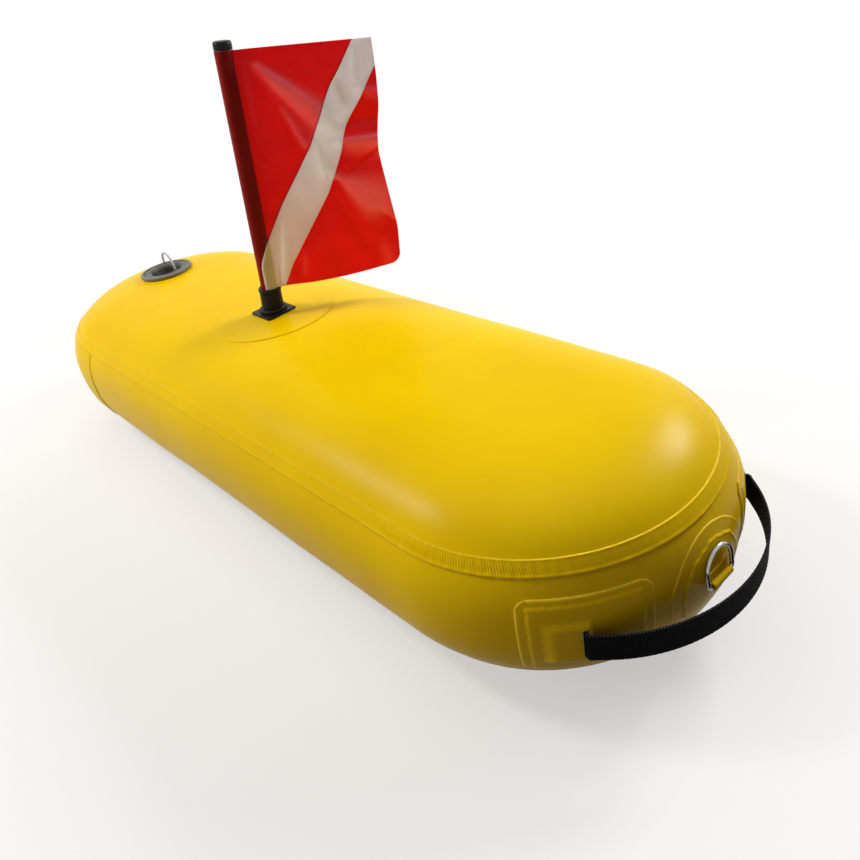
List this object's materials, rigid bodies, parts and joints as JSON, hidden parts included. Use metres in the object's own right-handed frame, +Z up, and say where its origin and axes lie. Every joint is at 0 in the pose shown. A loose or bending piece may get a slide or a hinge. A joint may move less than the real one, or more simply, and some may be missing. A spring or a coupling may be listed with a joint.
{
  "type": "dive flag float",
  "caption": "Torpedo-shaped inflated float with a leaning flag mast in a moulded socket, recessed air valve with leashed cap, webbing bow handle and tow ring.",
  "frame": {"origin": "middle of the flat that the hull rests on", "axes": "+X to the bow, with the handle and the tow ring; +Z up; +Y to port, away from the picture's camera"},
  "size_m": [0.9923, 0.3308, 0.4554],
  "materials": {
    "pvc_yellow": "semi-gloss coated fabric",
    "pvc_red": "glossy vinyl sheet",
    "pvc_white": "satin vinyl sheet",
    "rubber_black": "satin moulded rubber",
    "webbing_black": "woven webbing",
    "glass_fibre": "satin glass fibre",
    "stainless_steel": "polished wire",
    "valve_grey": "satin moulded plastic",
    "seal_rubber": "soft rubber",
    "cord_white": "braided cord"
  },
  "bodies": {
    "hull": {"hull_top_panel": "pvc_yellow", "hull_bottom_panel": "pvc_yellow", "hull_side_band": "pvc_yellow", "seam_tape_upper": "pvc_yellow", "seam_tape_lower": "pvc_yellow", "band_joint_tape": "pvc_yellow", "mast_patch": "pvc_yellow", "mast_socket": "rubber_black", "socket_collar": "rubber_black", "handle_root_near": "webbing_black", "handle_root_far": "webbing_black", "handle_pad_near": "pvc_yellow", "handle_pad_far": "pvc_yellow", "handle_patch_near": "pvc_yellow", "handle_patch_far": "pvc_yellow", "ring_pad": "pvc_yellow", "ring_patch": "pvc_yellow", "ring_tab": "pvc_yellow", "valve_patch": "pvc_yellow", "valve_flange": "valve_grey", "valve_seal": "seal_rubber", "valve_spring": "stainless_steel", "valve_leash": "cord_white"},
    "mast": {"mast_pole": "glass_fibre", "mast_ferrule": "rubber_black", "mast_tip_cap": "rubber_black"},
    "flag": {"flag_sleeve": "pvc_red", "flag_field_upper": "pvc_red", "flag_stripe": "pvc_white", "flag_field_lower": "pvc_red"},
    "handle": {"handle_strap": "webbing_black"},
    "ring": {"tow_ring": "stainless_steel"},
    "cap": {"valve_cap": "valve_grey"},
    "poppet": {"valve_poppet": "valve_grey"}
  },
  "joints": [
    {"name": "mast_lift", "type": "slide", "parent": "hull", "child": "mast", "axis": [0.0596, 0.0794, 0.9951], "range_m": [0, 0.018]},
    {"name": "flag_turn", "type": "hinge", "parent": "mast", "child": "flag", "pos_m": [-0.0698, 0, 0.1742], "axis": [0.0596, 0.0794, 0.9951], "continuous": true},
    {"name": "handle_swing", "type": "hinge", "parent": "hull", "child": "handle", "pos_m": [0.46238, 0, 0.0811], "axis": [0, 1, 0], "range_deg": [-12, 25], "stiffness_Nm_per_rad": 0.15},
    {"name": "ring_swing", "type": "hinge", "parent": "hull", "child": "ring", "pos_m": [0.48845, 0, 0.0843], "axis": [0, 1, 0], "range_deg": [0, 35]},
    {"name": "cap_lift", "type": "slide", "parent": "hull", "child": "cap", "axis": [-0.0209, 0, 0.9998], "range_m": [0, 0.012], "deforming": ["valve_leash"]},
    {"name": "poppet_push", "type": "slide", "parent": "hull", "child": "poppet", "axis": [0.0209, 0, -0.9998], "range_m": [0, 0.0045], "stiffness_N_per_m": 60, "springref_m": -0.004, "deforming": ["valve_spring"]}
  ]
}
